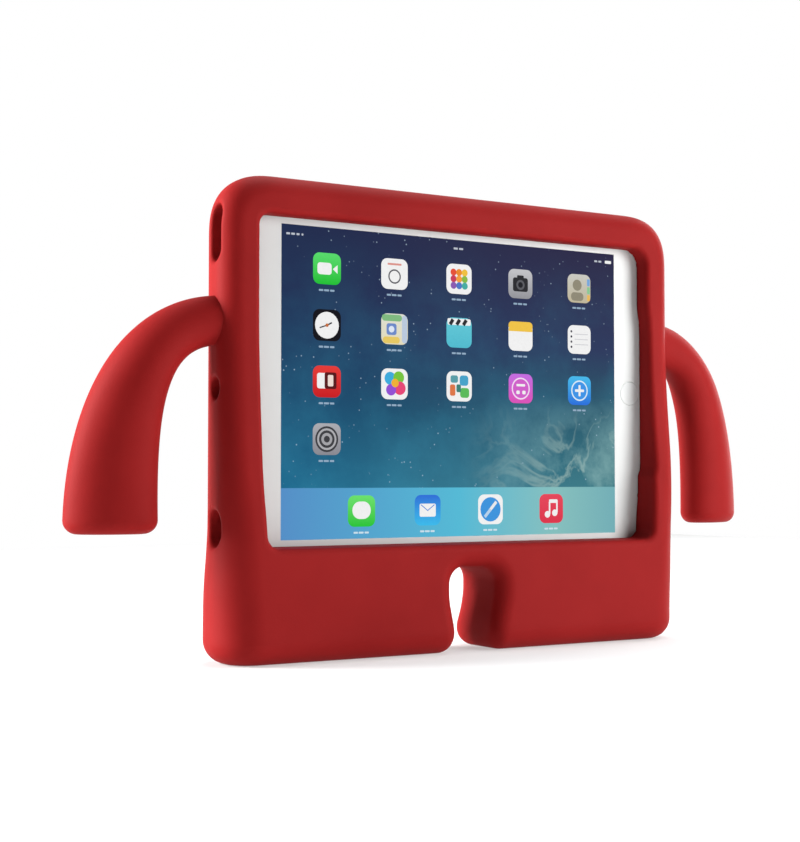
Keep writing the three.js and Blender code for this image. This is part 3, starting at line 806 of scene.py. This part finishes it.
def third_row():
    """Two cards, balloons, blocks, three bars in a ring and a plus sign."""
    x, z = COLUMNS, ROWS[2]
    balloons = (
        (disc(-2.0, 2.2, 2.6), srgb(60, 175, 225)),
        (disc(1.9, 2.6, 2.5), srgb(120, 200, 60)),
        (disc(2.4, -1.6, 2.7), srgb(235, 70, 120)),
        (disc(-1.6, -2.3, 2.3), srgb(150, 80, 215)),
        (disc(0.2, 0.4, 1.7), srgb(245, 180, 50)),
    )
    blocks = (
        (bar(-2.4, 2.9, 3.6, 3.0), srgb(90, 160, 170)),
        (bar(2.3, 2.4, 4.2, 4.2), srgb(70, 165, 205)),
        (bar(-3.2, -1.6, 2.6, 4.6), srgb(225, 120, 70)),
        (bar(2.6, -2.6, 4.4, 4.0), srgb(90, 190, 90)),
        (bar(-0.3, -0.8, 2.2, 3.2), srgb(60, 130, 120)),
    )
    return (
        app(x[0], z, srgb(235, 60, 55), srgb(205, 25, 30),
            (round_patch(-1.0, 0.3, 6.6, 6.0, 1.0), WHITE),
            (round_patch(1.6, 0.4, 5.2, 6.4, 0.8), srgb(90, 20, 22)),
            (round_patch(1.6, 0.4, 2.4, 4.4, 0.5), srgb(245, 225, 215)))
        + app(x[1], z, WHITE, WHITE, *balloons)
        + app(x[2], z, WHITE, WHITE, *blocks)
        + app(x[3], z, srgb(200, 110, 230), srgb(225, 80, 185),
              (disc(0, 0, 4.6), srgb(250, 225, 250)),
              (disc(0, 0, 4.0), srgb(212, 95, 205)),
              (bar(-1.4, -1.6, 1.7, 1.5), WHITE),
              (bar(1.6, -1.6, 1.7, 1.5), WHITE),
              (bar(0, 1.4, 4.4, 1.0), WHITE))
        + app(x[4], z, srgb(70, 190, 240), srgb(35, 110, 225),
              (disc(0, 0, 4.4), srgb(225, 242, 252)),
              (disc(0, 0, 3.8), srgb(60, 150, 235)),
              (bar(0, 0, 4.8, 1.1), WHITE),
              (bar(0, 0, 1.1, 4.8), WHITE))
    )


def fourth_row():
    """One icon with rings."""
    x, z = COLUMNS[0], ROWS[3]
    dark, pale = srgb(62, 62, 66), srgb(178, 178, 182)
    rings = [(5.0, dark), (4.2, pale), (3.4, dark), (2.4, srgb(168, 168, 172)), (1.3, dark)]
    discs = [(disc(0, 0, radius), colour) for radius, colour in rings]
    return app(x, z, srgb(176, 176, 182), srgb(140, 140, 148), *discs)


def dock_row():
    """A speech bubble, an envelope, a needle and two notes."""
    x, z = DOCK_COLUMNS, DOCK_ROW
    blue = srgb(60, 130, 220)
    return (
        app(x[0], z, srgb(110, 230, 110), srgb(40, 200, 55),
            (round_patch(0, 0.3, 8.2, 6.8, 3.3), WHITE))
        + app(x[1], z, srgb(45, 110, 220), srgb(60, 190, 240),
              (round_patch(0, 0, 7.6, 5.2, 0.7), WHITE),
              (stroke(-3.2, 2.2, 4.2, 0.35, 2.2), blue),
              (stroke(3.2, 2.2, 4.2, 0.35, -2.2), blue))
        + app(x[2], z, WHITE, WHITE,
              (disc(0, 0, 5.0), srgb(60, 150, 225)),
              (stroke(0, 0, 4.2, 1.3, 0.75), srgb(240, 240, 240)),
              (stroke(0, 0, 4.2, 1.3, 0.75 + math.pi), srgb(190, 215, 240)))
        + app(x[3], z, srgb(235, 70, 90), srgb(225, 50, 75),
              (disc(-2.0, -2.4, 1.4), WHITE),
              (disc(1.8, -1.8, 1.4), WHITE),
              (bar(-0.9, 0.3, 0.8, 5.2), WHITE),
              (bar(2.9, 0.9, 0.8, 5.2), WHITE),
              (bar(1.0, 3.1, 4.4, 1.5), WHITE))
    )


def status_bar():
    """Plain bars in place of the words along the top, and a small battery."""
    pale = srgb(190, 196, 208)
    marks = [(bar(x, STATUS_Z, width, 0.8), pale, pale, 1) for x, width in STATUS_BARS]
    return marks + [(round_patch(77, STATUS_Z, 3.4, 1.3, 0.4), WHITE, WHITE, 1)]


def make_wallpaper(front):
    """The flat lit rectangle."""
    across, up = SCREEN_HALF
    corners = [
        (-across, front, SCREEN_Z - up),
        (across, front, SCREEN_Z - up),
        (across, front, SCREEN_Z + up),
        (-across, front, SCREEN_Z + up),
    ]
    wallpaper = mesh_object("lit_screen", corners, [(0, 1, 2, 3)])
    wallpaper.data.materials.append(wallpaper_material())
    return wallpaper


def make_picture(front):
    """All icons and marks as one piece, each shape a face with its colours at its corners."""
    marks = first_row() + second_row() + third_row() + fourth_row() + dock_row() + status_bar()
    points, faces, tints = [], [], []
    for outline, top, bottom, layer in marks:
        lowest = min(z for _, z in outline)
        height = max(z for _, z in outline) - lowest
        faces.append(list(range(len(points), len(points) + len(outline)))[::-1])
        points += [(x, front - LAYER * layer, SCREEN_Z + z) for x, z in outline]
        shares = [(z - lowest) / height for _, z in outline][::-1]
        tints += [(*(mix(bottom[i], top[i], share) for i in range(3)), 1.0) for share in shares]
    picture = mesh_object("screen_icons", points, faces)
    colours = picture.data.color_attributes.new("tint", "FLOAT_COLOR", "CORNER")
    colours.data.foreach_set("color", np.array(tints).ravel())
    picture.data.materials.append(picture_material())
    return picture


def make_screen():
    front = GLASS_Y - LAYER
    for piece in (make_wallpaper(front), make_picture(front)):
        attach(piece, "tablet")


# ---------------------------------------------------------------- the tablet's other looks
# The home button's section from its middle out: shares of its radius, and depths into the glass.
BUTTON_SECTION = (
    (0.0, 0.32), (0.3, 0.31), (0.6, 0.25), (0.8, 0.15),
    (0.92, 0.05), (0.97, 0.06), (1.0, 0.16), (1.0, 0.9),
)
BUTTON_GROWTH = 0.18        # how much the cap fills of the gap round the CAD's button
BUTTON_SIDES = 48


def make_home_button(material):
    """A shallow round dish with a soft rim, set in the glass with a hairline gap."""
    low, high = box_mm("home_button")
    centre_x = (low[0] + high[0]) / 2
    radius = (high[0] - low[0]) / 2 + BUTTON_GROWTH
    turns = 2 * math.pi * np.arange(BUTTON_SIDES) / BUTTON_SIDES
    points = [(centre_x, GLASS_Y + BUTTON_SECTION[0][1], SCREEN_Z)]
    for share, depth in BUTTON_SECTION[1:]:
        across = centre_x + share * radius * np.sin(turns)
        up = SCREEN_Z + share * radius * np.cos(turns)
        points += [(x, GLASS_Y + depth, z) for x, z in zip(across, up)]
    faces = [(0, 1 + (i + 1) % BUTTON_SIDES, 1 + i) for i in range(BUTTON_SIDES)]
    for ring in range(len(BUTTON_SECTION) - 2):
        first = 1 + ring * BUTTON_SIDES
        second = first + BUTTON_SIDES
        for i in range(BUTTON_SIDES):
            j = (i + 1) % BUTTON_SIDES
            faces.append((first + i, first + j, second + j, second + i))
    button = mesh_object("home_button_cap", points, faces)
    button.data.materials.append(material)
    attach(button, "home_button")
    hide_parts("home_button")


def white_material(name, colour):
    """The tablet's white front and its button: smooth, with a weak shine."""
    return plain_material(name, colour, 0.3, grain=120, unevenness=0.01, specular=0.15)


def make_looks():
    """A material for each of the record's slots that the CAD pieces use, apart from the foam."""
    return {
        "aluminium": plain_material(
            "anodised", srgb(196, 197, 200), 0.38, metallic=0.9, grain=2500, unevenness=0.05
        ),
        "front_glass": white_material("white_glass", srgb(204, 206, 205)),
        "display": plain_material("dark_panel", srgb(24, 26, 34), 0.2),
        "white_plastic": white_material("home_button_plastic", srgb(206, 209, 208)),
        "black_plastic": plain_material("black_plastic", srgb(28, 28, 30), 0.5),
        "lens": plain_material("lens_glass", srgb(10, 11, 16), 0.06),
        "board": plain_material("board_mask", srgb(26, 74, 50), 0.55),
        "foil": plain_material("battery_foil", srgb(64, 65, 70), 0.4, metallic=0.4),
        "steel": plain_material(
            "steel", srgb(172, 174, 178), 0.32, metallic=1.0, grain=1800, unevenness=0.08
        ),
    }


def dress_nodes(looks):
    """Gives each CAD piece that shows a material of its own, by the record's slots."""
    slots = {part["node"]: part["material_slot"] for part in frame["record"]["subparts"]}
    for name, node in frame["nodes"].items():
        look = looks.get(slots[name])
        if look:
            node.data.materials.clear()
            node.data.materials.append(look)


# ---------------------------------------------------------------- scene
# The camera's place is measured from the screen's middle. It stands to the left of the screen, a
# little below its middle, and looks to the right and slightly up.
CAMERA_PLACE = (-0.3365, -0.5181, -0.0361)
CAMERA_YAW = math.radians(30.79)
CAMERA_PITCH = math.radians(2.09)
FOCAL_LENGTH = 65.13
SENSOR_WIDTH = 36

FLOOR_REACH = 900           # in millimetres from the middle to each edge
FLOOR_GLOW = 0.42

# The surround's brightness. It is dim on the viewer's side and bright behind the case, and changes
# where the share of a direction that points away from the viewer is between two values.
SURROUND = {"front": 0.04, "behind": 0.75, "from": 0.2, "to": 0.75}
AWAY = (0.51, 0.86, 0)
LIGHT_TARGET = (0, 0, 0.1)
LIGHTS = (                  # name, place, width and height, and power
    ("left_strip", (-1.1, 0.5, 0.3), (0.4, 1.1), 52),
    ("right_near_strip", (0.42, -0.46, 0.2), (0.3, 0.5), 4.9),
    ("right_rear_strip", (1.1, 0.35, 0.4), (0.4, 1.1), 10),
    ("top_softbox", (0.3, 0.15, 1.4), (1.2, 0.8), 19),
)


def make_camera():
    camera = bpy.data.cameras.new("camera")
    camera.lens = FOCAL_LENGTH
    camera.sensor_width = SENSOR_WIDTH
    viewer = bpy.data.objects.new("camera", camera)
    viewer.location = Vector((0, GLASS_Y, SCREEN_Z)) * MM + Vector(CAMERA_PLACE)
    level = Vector((math.sin(CAMERA_YAW), math.cos(CAMERA_YAW), 0))
    ahead = level * math.cos(CAMERA_PITCH) + Vector((0, 0, math.sin(CAMERA_PITCH)))
    viewer.rotation_euler = ahead.to_track_quat("-Z", "Y").to_euler()
    bpy.context.scene.collection.objects.link(viewer)
    bpy.context.scene.camera = viewer


def make_floor():
    """A pale, faintly glowing floor, so that it stays white out to its edge."""
    corners = [(x * FLOOR_REACH, y * FLOOR_REACH, 0) for x, y in ((-1, -1), (1, -1), (1, 1), (-1, 1))]
    floor = mesh_object("floor", corners, [(0, 1, 2, 3)])
    material = plain_material("pale_floor", (0.5, 0.5, 0.5), 0.8, unevenness=0.01, specular=0)
    shader = material.node_tree.nodes["Principled BSDF"]
    shader.inputs["Emission Color"].default_value = (1, 1, 1, 1)
    shader.inputs["Emission Strength"].default_value = FLOOR_GLOW
    floor.data.materials.append(material)


def make_surround():
    """A plain world that lights the case mostly from behind, and that the camera sees as white."""
    world = bpy.data.worlds.new("studio")
    world.use_nodes = True
    nodes, links = world.node_tree.nodes, world.node_tree.links
    direction = nodes.new("ShaderNodeTexCoord").outputs["Generated"]
    away = nodes.new("ShaderNodeVectorMath")
    away.operation = "DOT_PRODUCT"
    away.inputs[1].default_value = AWAY
    links.new(direction, away.inputs[0])
    level = nodes.new("ShaderNodeMapRange")
    level.interpolation_type = "SMOOTHSTEP"
    level.inputs["From Min"].default_value = SURROUND["from"]
    level.inputs["From Max"].default_value = SURROUND["to"]
    level.inputs["To Min"].default_value = SURROUND["front"]
    level.inputs["To Max"].default_value = SURROUND["behind"]
    links.new(away.outputs["Value"], level.inputs["Value"])
    seen = nodes.new("ShaderNodeMath")
    seen.operation = "MAXIMUM"
    links.new(level.outputs["Result"], seen.inputs[0])
    links.new(nodes.new("ShaderNodeLightPath").outputs["Is Camera Ray"], seen.inputs[1])
    links.new(seen.outputs["Value"], nodes["Background"].inputs["Strength"])
    nodes["Background"].inputs["Color"].default_value = (1, 1, 1, 1)
    bpy.context.scene.world = world


def make_lights():
    """Soft lights at both sides and above."""
    for name, place, (width, height), power in LIGHTS:
        light = bpy.data.lights.new(name, "AREA")
        light.shape = "RECTANGLE"
        light.size = width
        light.size_y = height
        light.energy = power
        lamp = bpy.data.objects.new(name, light)
        lamp.location = place
        aim = Vector(LIGHT_TARGET) - Vector(place)
        lamp.rotation_euler = aim.to_track_quat("-Z", "Y").to_euler()
        bpy.context.scene.collection.objects.link(lamp)


make_camera()
make_floor()
make_surround()
make_lights()
bpy.context.scene.view_settings.view_transform = "Standard"

foam = foam_material()
make_case(foam)
make_arms(foam)
make_screen()
looks = make_looks()
make_home_button(looks["white_plastic"])
dress_nodes(looks)
